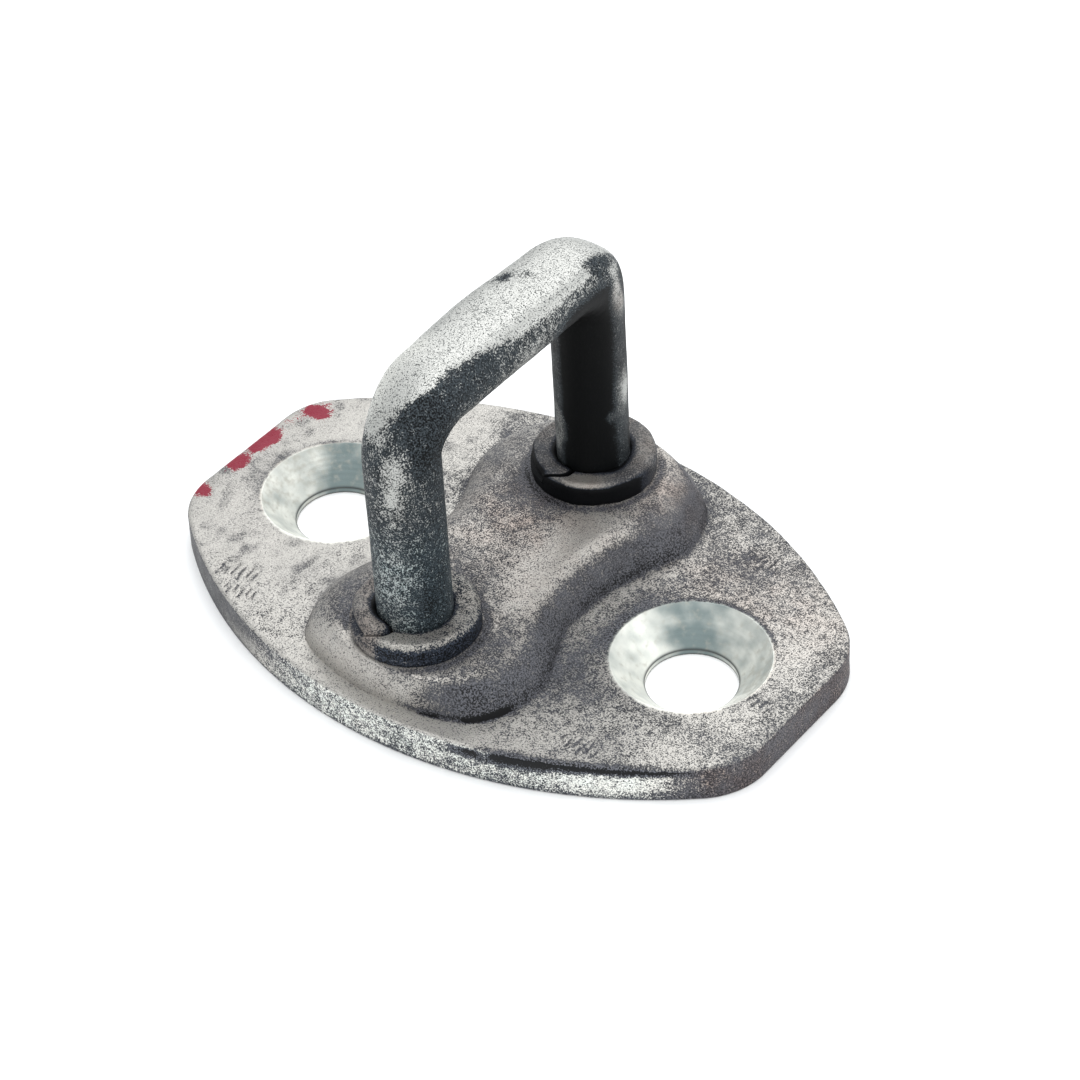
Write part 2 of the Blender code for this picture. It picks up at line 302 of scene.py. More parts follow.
class Skin:
    """Points and faces of one closed surface while it is built."""

    def __init__(self):
        self.points = []
        self.faces = []

    def ring(self, points):
        start = len(self.points)
        self.points.extend(tuple(point) for point in points)
        return list(range(start, len(self.points)))

    def band(self, one, other):
        for i in range(len(one)):
            j = (i + 1) % len(one)
            self.faces.append((one[i], one[j], other[j], other[i]))

    def stack(self, rings):
        """Bands through the rings. It returns the first and the last."""
        loops = [self.ring(points) for points in rings]
        for one, other in zip(loops, loops[1:]):
            self.band(one, other)
        return loops[0], loops[-1]

    def cap(self, loop):
        self.faces.append(tuple(loop))

    def sheet(self, outer, holes, pitch, extra=()):
        """A flat sheet inside one ring and outside the others, filled with points."""
        loops = [outer] + holes
        places = np.array(self.points)
        z = places[outer[0]][2]
        outlines = [places[loop][:, :2] for loop in loops]
        inner = lattice(outlines, pitch)
        for centre, reach, fine in extra:
            near = np.abs(inner - centre).max(axis=1) < reach
            patch = lattice(outlines, fine, centre, reach)
            inner = np.concatenate([inner[~near], patch])
        border = np.concatenate(outlines)
        numbers = [index for loop in loops for index in loop]
        numbers += self.ring(np.column_stack([inner, np.full(len(inner), z)]))
        edges = []
        start = 0
        for loop in loops:
            count = len(loop)
            edges += [(start + i, start + (i + 1) % count) for i in range(count)]
            start += count
        flat = [Vector(point) / MM for point in np.concatenate([border, inner])]
        found = delaunay_2d_cdt(flat, edges, [], 1, 1e-6, True)
        coords = np.array([tuple(point) for point in found[0]]) * MM
        triangles = np.array(found[2])
        centres = coords[triangles].mean(axis=1)
        origin = [numbers[sources[0]] for sources in found[3]]
        for triangle in triangles[on_sheet(centres, outlines)]:
            self.faces.append(tuple(origin[corner] for corner in triangle))


def within(points, outline):
    """Which points lie inside a closed outline."""
    inside = np.zeros(len(points), bool)
    for (x0, y0), (x1, y1) in zip(outline, np.roll(outline, -1, axis=0)):
        if y0 == y1:
            continue
        crosses = (points[:, 1] < y0) != (points[:, 1] < y1)
        inside ^= crosses & (points[:, 0] < x0 + (points[:, 1] - y0) * (x1 - x0) / (y1 - y0))
    return inside


def on_sheet(points, outlines):
    """Which points lie inside the first outline and outside the others."""
    keep = within(points, outlines[0])
    for hole in outlines[1:]:
        keep &= ~within(points, hole)
    return keep


def lattice(outlines, pitch, centre=None, reach=0.0):
    """Points on a triangular grid within the first outline, clear of every outline."""
    low = outlines[0].min(axis=0) if centre is None else np.array(centre) - reach
    high = outlines[0].max(axis=0) if centre is None else np.array(centre) + reach
    row = pitch * sqrt(3) / 2
    ys = np.arange(low[1], high[1], row)
    xs = np.arange(low[0], high[0], pitch)
    grid_x, grid_y = np.meshgrid(xs, ys)
    grid_x = grid_x + (np.arange(len(ys)) % 2)[:, None] * pitch / 2
    points = np.column_stack([grid_x.ravel(), grid_y.ravel()])
    points = points[on_sheet(points, outlines)]
    for outline in outlines:
        clear = np.ones(len(points), bool)
        for corner in outline:
            clear &= np.abs(points - corner).max(axis=1) > 0.6 * pitch
        points = points[clear]
    return points


def add_object(name, data):
    obj = bpy.data.objects.new(name, data)
    bpy.context.scene.collection.objects.link(obj)
    return obj


def mesh_object(name, skin):
    """An object from a skin, its faces turned outwards."""
    mesh = bpy.data.meshes.new(name)
    mesh.from_pydata(skin.points, [], skin.faces)
    bm = bmesh.new()
    bm.from_mesh(mesh)
    bmesh.ops.recalc_face_normals(bm, faces=bm.faces)
    bm.to_mesh(mesh)
    bm.free()
    return add_object(name, mesh)


def read_vectors(mesh, name):
    vectors = np.empty(len(mesh.vertices) * 3)
    mesh.vertices.foreach_get(name, vectors)
    return vectors.reshape(-1, 3)


def read_points(mesh):
    return read_vectors(mesh, "co")


def read_normals(mesh):
    return read_vectors(mesh, "normal")


def push_out(mesh, distance):
    """Moves each point along its normal, and writes the mesh."""
    points = read_points(mesh) + read_normals(mesh) * np.asarray(distance)[:, None]
    write_points(mesh, points)


def write_points(mesh, points):
    """Writes the points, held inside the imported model's box."""
    low, high = (np.array(corner) for corner in CAD_BOX)
    mesh.vertices.foreach_set("co", np.clip(points, low, high).ravel())
    mesh.update()


def paint(mesh, **layers):
    """Stores each named layer as one number for each point, for the material to read.

    dark: share of oxide, and above 1 of black, standing for dirt and in places for painted shade.
    dull: grime on the pale plating, below 0 a painted sheen. On bare zinc, a painted teal
    reflection.
    speckled: 1 where the oxide is sharp specks, 0 where it is a smooth tone.
    bare: share of machined zinc.
    stain: brown stain, below 0 a bluish cast. On bare zinc, mottling.
    red: share of old paint.
    """
    for name in ("dark", "dull", "speckled", "bare", "stain", "red"):
        values = np.zeros(len(mesh.vertices)) + layers.get(name, 0)
        layer = mesh.attributes.new(name, "FLOAT", "POINT")
        layer.data.foreach_set("value", values.astype(np.float32))


def finish_piece(obj, node, material):
    obj.data.shade_smooth()
    obj.data.set_sharp_from_angle(angle=SHARP_ANGLE)
    obj.data.materials.append(material)
    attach(obj, "root")
    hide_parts(node)


# Base plate


def mirrored_outline(quarter):
    """The whole outline from the quarter that runs from (0, +y) round to (+x, 0)."""
    quarter = np.array(quarter)
    right = np.concatenate([quarter, quarter[-2::-1] * (1, -1)])
    return np.concatenate([right, right[-2:0:-1] * (-1, 1)])


def arc_steps(length):
    return ceil(length / EDGE_PITCH)


def plate_outline(inset):
    """Outline of the blank, moved inwards by inset."""
    edge_centre_y = PLATE_WIDTH / 2 - LONG_EDGE_RADIUS
    corner_x = PLATE_LENGTH / 2 - PLATE_CORNER_RADIUS
    centre_distance = LONG_EDGE_RADIUS - PLATE_CORNER_RADIUS
    corner_y = edge_centre_y + sqrt(centre_distance**2 - corner_x**2)
    join = asin(corner_x / centre_distance)
    quarter = []
    for turn in steps_through(0, join, arc_steps(LONG_EDGE_RADIUS * join))[:-1]:
        reach = LONG_EDGE_RADIUS - inset
        quarter.append((reach * sin(turn), edge_centre_y + reach * cos(turn)))
    corner_turn = pi / 2 - join
    for turn in steps_through(join, pi / 2, arc_steps(PLATE_CORNER_RADIUS * corner_turn))[:-1]:
        reach = PLATE_CORNER_RADIUS - inset
        quarter.append((corner_x + reach * sin(turn), corner_y + reach * cos(turn)))
    for y in steps_through(corner_y, 0, arc_steps(corner_y)):
        quarter.append((PLATE_LENGTH / 2 - inset, y))
    return mirrored_outline(quarter)


def hourglass_outline(waist, belly, end_y, end_radius, corner):
    """An outline with a waist, two bellies and slightly curved ends."""

    def side_x(y):
        swell = (1 - cos(2 * pi * y / PAD_SIDE_PERIOD)) / 2
        return waist + (belly - waist) * swell**PAD_SIDE_POWER

    def end_arc_y(x):
        return end_y - end_radius + sqrt(end_radius**2 - x**2)

    tip = np.array((side_x(end_y), end_y))
    for _ in range(20):  # settles where the side meets the end arc
        tip[1] = end_arc_y(tip[0])
        tip[0] = side_x(tip[1])
    arc_end = np.array((tip[0] - corner, end_arc_y(tip[0] - corner)))
    side_end = np.array((side_x(tip[1] - corner), tip[1] - corner))
    quarter = []
    for x in steps_through(0, arc_end[0], arc_steps(PAD_FOOT[1]))[:-1]:
        quarter.append((x, end_arc_y(x)))
    for t in steps_through(0, 1, 10)[:-1]:
        quarter.append(arc_end * (1 - t) ** 2 + tip * 2 * t * (1 - t) + side_end * t**2)
    for y in steps_through(side_end[1], 0, arc_steps(PAD_FOOT[2])):
        quarter.append((side_x(y), y))
    return mirrored_outline(quarter)


def at_height(outline, z):
    return np.column_stack([outline, np.broadcast_to(z, len(outline))])


def circle(radius, x, y, sides):
    turns = steps_through(0, 2 * pi, sides)[:-1]
    return np.column_stack([x + radius * np.cos(turns), y + radius * np.sin(turns)])


def domed_rings(foot, top, foot_z, height, steps):
    """Rings from a foot outline up an elliptical flank to a flat top outline."""
    rings = []
    for angle in steps_through(FLANK_START, pi / 2, steps):
        inwards = 1 - cos(angle) / cos(FLANK_START)
        upwards = (sin(angle) - sin(FLANK_START)) / (1 - sin(FLANK_START))
        rings.append(at_height(foot + (top - foot) * inwards, foot_z + height * upwards))
    return rings


def edge_rings():
    """The plate's edge from its underside up: worn unevenly round the top."""
    outline = plate_outline(0)
    inwards = (plate_outline(0.1 * MM) - outline) / (0.1 * MM)
    flat = at_height(outline, 0)
    worn = 1 + 0.35 * cloud(flat, 9, 1) + 0.25 * cloud(flat, 2.5, 2)
    worn = worn + patches(flat, ((33, -15, 9, 9, 1.6), (-36, 4, 6, 9, 0.6)))
    rounding = TOP_EDGE_ROUNDING * np.maximum(worn, 0.5)
    rings = []
    for turn in steps_through(-pi / 2, 0, 3):
        inset = BOTTOM_EDGE_ROUNDING * (1 - cos(turn))
        rings.append(at_height(outline + inwards * inset, BOTTOM_EDGE_ROUNDING * (1 + sin(turn))))
    for level in steps_through(0, 1, 9)[1:-1]:
        wall = PLATE_THICKNESS - rounding - BOTTOM_EDGE_ROUNDING
        rings.append(at_height(outline, BOTTOM_EDGE_ROUNDING + wall * level))
    for turn in steps_through(0, pi / 2, 6):
        inset = rounding * (1 - cos(turn))
        z = PLATE_THICKNESS - rounding * (1 - sin(turn))
        rings.append(at_height(outline + inwards * inset[:, None], z))
    return rings


def screw_hole_rings(x):
    """Rings from the underside up the bore and the countersink to its rim."""
    slant = hypot(CONE_DEPTH, CONE_WIDTH)
    profile = [(SCREW_HOLE_RADIUS, z) for z in steps_through(0, CONE_FOOT, 6)]
    for share in steps_through(0, 1, CONE_STEPS)[1:]:
        groove = TOOL_MARK_DEPTH * sin(2 * pi * share * slant / TOOL_MARK_PITCH) * sin(pi * share)
        radius = SCREW_HOLE_RADIUS + CONE_WIDTH * share + groove
        profile.append((radius, CONE_FOOT + CONE_DEPTH * share - groove))
    return [at_height(circle(radius, x, 0, SCREW_HOLE_SIDES), z) for radius, z in profile]


def tick_depth(points):
    """How deep each point lies in one of the punched ticks."""
    depth = np.zeros(len(points))
    wobble = 0.25 * cloud(points, 1.1, 9)
    for x, y, full_length, spacing, direction in TICK_GROUPS:
        along = np.array((cos(radians(direction)), sin(radians(direction))))
        offset = points[:, :2] / MM - np.array((x, y))
        reach = offset @ along
        aside = offset @ np.array((-along[1], along[0])) + wobble
        for number in range(-2, 4):
            shift = TICK_STAGGER / MM * (1 if number % 2 else -1)
            half = full_length * (0.5 - 0.07 * abs(number))
            end = rise(np.abs(reach - shift), half, half - 0.4)
            side = rise(np.abs(aside - number * spacing), TICK_HALF_WIDTH / MM, 0)
            depth = np.maximum(depth, TICK_DEPTH * end * side)
    return depth


def plate_skin():
    skin = Skin()
    bottom, top_edge = skin.stack(edge_rings())
    foot = hourglass_outline(*PAD_FOOT)
    plateau = hourglass_outline(*PAD_PLATEAU)
    flank = domed_rings(foot, plateau, PLATE_THICKNESS, PAD_HEIGHT, PAD_FLANK_STEPS)
    pad_foot, pad_top = skin.stack(flank)
    mouth = hourglass_outline(*RECESS_MOUTH)
    ceiling = hourglass_outline(*RECESS_CEILING)
    flank = domed_rings(mouth, ceiling, 0, RECESS_DEPTH, RECESS_FLANK_STEPS)
    mouth, ceiling = skin.stack(flank)
    screws = [skin.stack(screw_hole_rings(x)) for x in (-SCREW_X, SCREW_X)]
    legs = []
    for y in (-LEG_Y, LEG_Y):
        bore = circle(LEG_BORE_RADIUS, 0, y, LEG_BORE_SIDES)
        legs.append(skin.stack([at_height(bore, z) for z in (RECESS_DEPTH, PAD_TOP)]))
    marks = [(np.array((x, y)) * MM, TICK_GROUP_REACH, MARK_PITCH) for x, y, *_ in TICK_GROUPS]
    skin.sheet(top_edge, [pad_foot] + [rim for _, rim in screws], TOP_PITCH, marks)
    skin.sheet(pad_top, [rim for _, rim in legs], TOP_PITCH)
    skin.sheet(bottom, [mouth] + [rim for rim, _ in screws], UNDER_PITCH)
    skin.sheet(ceiling, [rim for rim, _ in legs], UNDER_PITCH)
    return skin


def shape_plate(mesh):
    """A slightly dented and pitted surface, and the punched ticks."""
    points = read_points(mesh)
    normals = read_normals(mesh)
    upper = rise(points[:, 2], 0.4 * MM, 1.5 * MM)
    cone = cone_share(points)
    loose = upper * (1 - cone)
    height = relief(points, PLATE_RELIEF) * loose + relief(points, CONE_RELIEF) * cone
    height -= PIT_DEPTH * rise(cloud(points, 1.1, 7), 0.42, 0.75) * loose
    wall = rise(np.abs(normals[:, 2]), 0.6, 0.2) * (points[:, 2] < PLATE_THICKNESS)
    height += wall * upper * 0.05 * (cloud(points, 1.3, 8) - 1)
    ticks = tick_depth(points) * rise(normals[:, 2], 0.6, 0.9) * (points[:, 2] < PAD_FREE_Z)
    push_out(mesh, height * MM - ticks)


def cone_share(points):
    """1 on the countersinks and their bores, and 0 elsewhere."""
    reach = np.hypot(np.abs(points[:, 0]) - SCREW_X, points[:, 1])
    return (reach < COUNTERSINK_RADIUS + 0.02 * MM).astype(float) * (points[:, 2] < PAD_FREE_Z)


def outline_distance(points, outline):
    """Distance in plan from each point to the nearest corner of an outline."""
    nearest = np.full(len(points), 1.0)
    for corner in outline:
        nearest = np.minimum(nearest, np.hypot(points[:, 0] - corner[0], points[:, 1] - corner[1]))
    return nearest


def front_edge_distance(x, y):
    """How far in from the plate's long front edge, in mm."""
    radius = LONG_EDGE_RADIUS / MM
    middle_y = radius - PLATE_WIDTH / 2 / MM
    return y - middle_y + np.sqrt(radius**2 - x**2)


# Paler and darker spots as (x, y, half width, half length, change of the oxide's share)
TOP_SPOTS = (
    (14.5, -7.5, 2.8, 5.5, 0.3),  # charcoal between the pad's waist and the right hole
    (15.2, 0.5, 1.4, 4.5, 0.6),
    (12.5, 10, 2.5, 4.5, -0.16),
    (19.5, 13, 6, 6, 0.12),
    (33, 17, 3, 2.5, 0.24),
    (25, -9.4, 5, 1, 0.14),
    (36.5, 0, 1.4, 8, 0.08),
    (36.5, -12, 1.6, 3, 0.14),
    (32.5, -17.5, 2.5, 2, 0.26),
    (16, -12, 3, 3, 0.08),
    (18.5, -10.5, 3, 2.5, 0.08),
    (19, -17.5, 5, 1.8, -0.14),
    (30.5, 2, 6, 16, -0.18),  # rubbed beyond the right hole
    (29.5, -12.5, 4, 2.5, -0.08),
    (-12.5, -12, 3, 4.5, 0.36),  # grime beside the pad's left foot
    (-13, 8, 3, 4, 0.24),
    (-13.5, 20, 3, 4, 0.4),
    (-18, 8, 3, 3, 0.2),
    (-18, -12.5, 2.6, 2, 0.14),
    (-33.5, -2, 1.6, 4, 0.2),
    (-23.4, -17.2, 2.6, 2, 0.12),  # dirt in the left ticks
    (7.5, 22.5, 6, 2.5, 0.16),
    (-37, 0, 1.4, 14, 0.2),
    # Painted light: this strip along the front edge is also made paler over the shadow the pad casts
    # there
    (4.5, -23, 8.5, 2.2, -0.54),  # rubbed along the front edge
    (0, -25, 10, 2.5, -0.1),
    (-36, -12, 2, 3, 0.16),
    (-18, 22.5, 3, 2, -0.12),
)


def plate_top_wear(points):
    """Share of oxide on the flat of the plate: pale at the left, mottled at the right."""
    x = points[:, 0] / MM
    smudge = 0.24 * rise(cloud(points, 1.8, 15), 0.05, 0.55) * rise(x, -8, -14)
    return 0.17 + 0.28 * rise(x, -19, 8) + smudge + patches(points, TOP_SPOTS)


PAD_SPOTS = (
    (5, 2.5, 2.6, 7, -0.44),
    (7.8, 5, 2, 5, -0.2),
    (7.2, -5, 1.6, 3.5, -0.28),
    (-3, -1.5, 3, 2, -0.16),
    (4.5, 21.8, 2.5, 2, -0.42),
    (13.5, 16, 1.5, 4, -0.16),
    (9, -22.5, 2.5, 1.2, -0.14),
    (-10, -20.5, 2, 2.5, -0.26),
    (-0.5, 7.7, 2.8, 2.4, 0.26),  # grime before the rear leg and behind the front one
    (-4.6, 9.6, 2.2, 2.4, 0.42),
    (-9, 10.5, 3, 2, 0.2),
    (1.5, -4.5, 1.5, 1.5, 0.14),
    (0, -8, 2.6, 1.8, 0.22),
    # Painted shade just in front of the front collar
    (4.5, -19.6, 2.4, 1, 0.3),
    (4.5, -22.3, 2, 1, 0.15),
    (-7.5, -18.8, 2, 1.5, 0.16),
    (9.5, -15, 2.6, 4.5, 0.2),
    (10.5, 12.5, 2, 3, 0.26),
    (-8.5, -16, 2.8, 3.6, 0.3),
)


def pad_wear(points, flank):
    """Share of oxide on the pad: a strip rubbed pale between the legs, dark flanks at the
    right, partly painted shade, and a front foot made paler by painted light.
    """
    x, y, _ = (points / MM).T
    front_foot = rise(y, -19.5, -22.0) * rise(x, 12, 0)
    # The right flanks are darkened partly as painted shade, and the front foot is paled by painted
    # light
    return 0.49 + 0.44 * flank * rise(x, 4, 8) - 0.36 * front_foot + patches(points, PAD_SPOTS)


def wall_wear(points, lumps):
    """Share of oxide on the plate's edge: paler along the front, with a black line
    along its top at the right."""
    x, y, z = (points / MM).T
    front = rise(y, -10, -16)
    side = 0.86 + 0.12 * lumps - 0.36 * front * between(x, -26, -11, 30, 38)
    side += 0.20 * front * rise(x, 15, 24) * rise(z, 1.8, 0.6)
    side += 0.16 * front * rise(z, 2.2, 3.0) * rise(np.abs(x + 14), 8, 3)
    side -= 0.20 * front * between(x, -26, -21, -17, -11) * rise(z, 2.4, 1.2)
    side += 0.35 * front * rise(z, 0.7, 0.1)
    side -= 0.16 * front * rise(np.abs(x - 27), 6, 3) * rise(z, 3.4, 2.8)
    narrow = 0.8 * rise(x, 18, 26)
    line = front * between(x, 9, 14, 31, 37) * rise(z, 2.2 + narrow, 3.4 + 0.5 * narrow)
    line *= 1 - rise(z, 3.7, 4.0) * rise(x, 17, 13)
    return side + 1.05 * line * rise(cloud(points, 2.2, 13), -1.0, -0.1)


def red_paint(points):
    """Traces of paint along the left end and the rear left edge."""
    x, _, z = (points / MM).T
    end = patches(points, (
        (-37, 1.8, 9, 2.6, 0.85),
        (-37, -2.8, 9, 1.5, 0.75),
        (-37, -8.2, 9, 1.2, 0.8),
        (-37, 4, 9, 5, 0.34),
    ))
    rear = patches(points, ((-34.9, 9.7, 1.9, 1.5, 1.0), (-30.5, 16.5, 4.0, 0.7, 0.5)))
    red = rise(x, -34.2, -36.4) * end + rear
    ragged = 0.35 * cloud(points, 1.9, 12) + 0.25 * cloud(points, 0.7, 14)
    return (red + ragged * (red > 0.12)) * rise(z, 2.4, 3.9)


def added_shade_and_dark_lines(points, on_pad, to_foot):
    """Darkening added round the pad, its legs and the holes, along the edge and in the ticks;
    at the pad's foot and round the collars' feet it is painted shade.
    """
    x, y, z = (points / MM).T
    from_screw = np.hypot(np.abs(x) - SCREW_X / MM, y)
    from_leg = np.hypot(x, np.abs(y) - LEG_Y / MM)
    # Painted shade along the pad's foot, and a black painted contact shadow at its front right foot
    dirt_and_painted_shade = 0.20 * rise(to_foot, 0.9, 0.0) * rise(y, -21, -18)
    dirt_and_painted_shade += 0.7 * rise(to_foot, 0.4, 0.15) * rise(z, 4.9, 4.5) * rise(x, 2, 5) * rise(y, -16, -18.5)
    dirt_and_painted_shade += 0.65 * rise(front_edge_distance(x, y), 1.2, 0.3) * between(x, 12, 17, 27, 33)
    # Painted shade round the collars' feet on the pad, less at the front collar's front left
    ring = bell(from_leg, 7.4, 0.4) * on_pad
    dirt_and_painted_shade += ring * (0.45 - 0.40 * rise(y, -19, -21.5) * rise(x, 4, -1))
    dirt_and_painted_shade += (0.34 + 0.26 * (x > 0)) * rise(from_screw, 9.5, 8.6) * rise(y, 4, 6.5)
    dirt_and_painted_shade += 0.22 * rise(from_screw, 10.0, 8.6) * rise(x, -28, -31)
    return dirt_and_painted_shade + 0.45 * tick_depth(points) / TICK_DEPTH


def plate_smoothness(points, on_pad, wall):
    """How far the oxide is a smooth tone instead of specks."""
    x, y, _ = (points / MM).T
    pad = patches(points, (
        (11, 17.5, 3.5, 4, 0.6),
        (-11, -11, 3, 4, 0.6),
        (-9, 12, 3, 6, 0.4),
        (11, 5, 2, 9, 0.35),
    ))
    smooth = np.where(on_pad, pad, 0.55 * rise(x, -12, -20) * rise(y, -19, -13))
    smooth = np.maximum(smooth, wall * rise(x, -14, -20) * 0.7)
    return np.maximum(smooth, 0.9 * spot(points, (-14.0, -10.5), (2.5, 4.5)) * (1 - wall))


def plate_stain(points, on_pad, wall):
    """Brown on the pad, at the rear right and on the right wall, bluish on the front wall."""
    x, y, _ = (points / MM).T
    pad = patches(points, (
        (0, 0, 16, 28, 0.14),
        (-1.5, 5, 5, 5, 0.3),
        (10, 18, 5, 6, 0.3),
    ))
    stain = np.where(on_pad, pad, 0.22 * spot(points, (24.0, 12.0), (14.0, 6.0)))
    bluish = 0.22 * between(x, -16, -8, 28, 33) * rise(y, -10, -16)
    return stain + wall * (0.6 * rise(x, 31, 36) - bluish)


def cone_wear(points, small):
    """Dark, dull and stain layers of the machined cones: dark at the foot and where the
    bore ends, a painted teal reflection mostly on their rear left, mottled on the side
    away from the pad."""
    x, y, z = (points / MM).T
    turn = np.degrees(np.arctan2(y, x - np.sign(x) * SCREW_X / MM)) % 360
    # Painted reflection: teal set by the angle round the hole, stronger low on the cone
    painted_reflection = bell(turn, 125, 32) * (1.15 - 0.30 * rise(z, 2.0, 3.2))
    painted_reflection += 0.38 * rise(np.abs(turn - 45), 75, 30) + 0.30 * rise(np.abs(turn - 215), 70, 40)
    painted_reflection += 0.24 * small
    seam = bell(z, CONE_SEAM / MM, 0.12) + rise(z, 0.2, 0.05)
    return seam, painted_reflection, rise(np.abs(x) - SCREW_X / MM, 3.0, 6.0)


def paint_plate(mesh):
    """Wear and dirt of the plate: clean zinc, dark oxide, brown stain and old paint, with
    painted shade, painted light and a painted reflection in places.
    """
    points = read_points(mesh)
    up = read_normals(mesh)[:, 2]
    x, y, z = (points / MM).T
    foot = hourglass_outline(*PAD_FOOT)
    to_foot = outline_distance(points, foot) / MM
    on_pad = within(points[:, :2], foot) & (points[:, 2] > PLATE_THICKNESS - 0.1 * MM)
    lumps = cloud(points, 4.5, 11)
    small = cloud(points, 1.4, 12)
    cone = cone_share(points)
    wall = rise(np.abs(up), 0.8, 0.4) * (z < PLATE_THICKNESS / MM - 0.01) * (1 - cone)
    under = rise(up, -0.2, -0.7)

    dark = np.where(on_pad, pad_wear(points, rise(up, 0.93, 0.72)), plate_top_wear(points))
    dark += 0.12 * lumps + 0.10 * small + added_shade_and_dark_lines(points, on_pad, to_foot)
    dull = rise(dark, 0.25, 0.9)
    # Painted sheen: the front wall is made paler, standing for the bright floor it reflects
    painted_sheen = 2.5 * rise(y, -8, -16) * between(x, -24, -8, 30, 38)
    dark += (wall_wear(points, lumps) - dark) * wall
    dull += (0.5 - painted_sheen - dull) * wall
    dark += (0.5 + 0.15 * lumps - dark) * under
    stain = plate_stain(points, on_pad, wall)

    bare = cone * (1 - under)
    seam, painted_reflection, mottle = cone_wear(points, small)
    dark = np.where(bare > 0, bare * seam, dark)
    dull = np.where(bare > 0, bare * painted_reflection, dull)
    stain = np.where(bare > 0.5, mottle, stain)
    speckled = 1 - plate_smoothness(points, on_pad, wall)
    red = red_paint(points)
    paint(mesh, dark=dark, dull=dull, speckled=speckled, bare=bare, stain=stain, red=red)


def base_plate(material):
    plate = mesh_object("plate_skin", plate_skin())
    shape_plate(plate.data)
    paint_plate(plate.data)
    finish_piece(plate, "base_plate", material)


# Bow


def bar_section(centre, outward, turn, fullness, softness):
    """Ring round the bar. Outward points away from the loop, turn is 0 on a leg and 90
    degrees on the crown. The crown's +X edge is rounder where softness is high."""
    flatness = float(smooth_share(turn / FLATTENED_FROM))
    half_width = BAR_RADIUS + (CROWN_HALF_WIDTH - BAR_RADIUS) * flatness
    top_reach = BAR_RADIUS + (CROWN_TOP_Z - CROWN_CENTRE_Z - BAR_RADIUS) * flatness
    top_reach += fullness * sin(2 * turn) ** 2
    front_power = HARD_EDGE_POWER + (SOFT_EDGE_POWER - HARD_EDGE_POWER) * softness
    ring = []
    for i in range(BAR_SIDES):
        across = cos(2 * pi * i / BAR_SIDES)
        away = sin(2 * pi * i / BAR_SIDES)
        if i < BAR_SIDES / 2:
            side = 1 if across > 0 else -1
            power = 1 + ((front_power if side > 0 else BACK_EDGE_POWER) - 1) * flatness
            across = side * abs(across) ** power
            away = top_reach * abs(away) ** power
        else:
            away *= BAR_RADIUS
        ring.append(centre + Vector((half_width * across, 0, 0)) + outward * away)
    return ring


def rivet_profile():
    """(radius, z) from the middle of the head's hammered face out and up to the leg."""
    face = RIVET_TOP - RIVET_HEAD_HEIGHT
    radii = steps_through(0.3, 4.2, 9)
    profile = [(radius * MM, face + RIVET_FACE_RIPPLE * cos(radius)) for radius in radii]
    edge_centre = (RIVET_HEAD_RADIUS - RIVET_HEAD_ROUNDING, face + RIVET_HEAD_ROUNDING)
    profile += arc(edge_centre, RIVET_HEAD_ROUNDING, -pi / 2, 0, 6)
    return profile + [(RIVET_HEAD_RADIUS, RIVET_TOP), (BAR_RADIUS, RIVET_TOP)]


def half_bow_rings(side, fullness, softness):
    """Rings from one rivet head up its leg and round the bend to the crown's middle."""
    sideways = Vector((0, side, 0))
    upwards = Vector((0, 0, 1))
    foot = sideways * LEG_Y
    rings = []
    for radius, z in rivet_profile():
        ring = bar_section(Vector(), sideways, 0, 0, 0)
        rings.append([foot + upwards * z + point * (radius / BAR_RADIUS) for point in ring])
    bend_z = CROWN_CENTRE_Z - BEND_RADIUS
    for z in steps_through(RIVET_TOP, bend_z, LEG_STEPS)[1:-1]:
        rings.append(bar_section(foot + upwards * z, sideways, 0, 0, 0))
    crown_half = LEG_Y - BEND_RADIUS
    bend_centre = sideways * crown_half + upwards * bend_z
    for turn in steps_through(0, pi / 2, BEND_STEPS):
        outward = sideways * cos(turn) + upwards * sin(turn)
        centre = bend_centre + outward * BEND_RADIUS
        rings.append(bar_section(centre, outward, turn, fullness, softness))
    for y in steps_through(crown_half, 0, CROWN_STEPS)[1:]:
        centre = sideways * y + upwards * CROWN_CENTRE_Z
        here = 0.5 + (softness - 0.5) * y / crown_half
        rings.append(bar_section(centre, upwards, pi / 2, fullness, here))
    return rings


def shape_bow(mesh):
    """Dents and pits above the collars, and the crown hammered wider by the latch."""
    points = read_points(mesh)
    x, y, z = (points / MM).T
    height = relief(points, BAR_RELIEF)
    height -= PIT_DEPTH * rise(cloud(points, 1.0, 24), 0.45, 0.8)
    height -= 0.10 * spot(points, (-2.6, 5.6, 39), (1.2, 1.5, 3))
    push_out(mesh, height * MM * rise(z, 7.5, 9))
    points = read_points(mesh)
    spread = bell(y, 0, CROWN_SPREAD_LENGTH / MM) * rise(x, -0.5, -4) * rise(z, 33.5, 36.5)
    points[:, 0] -= CROWN_SPREAD * spread
    write_points(mesh, points)


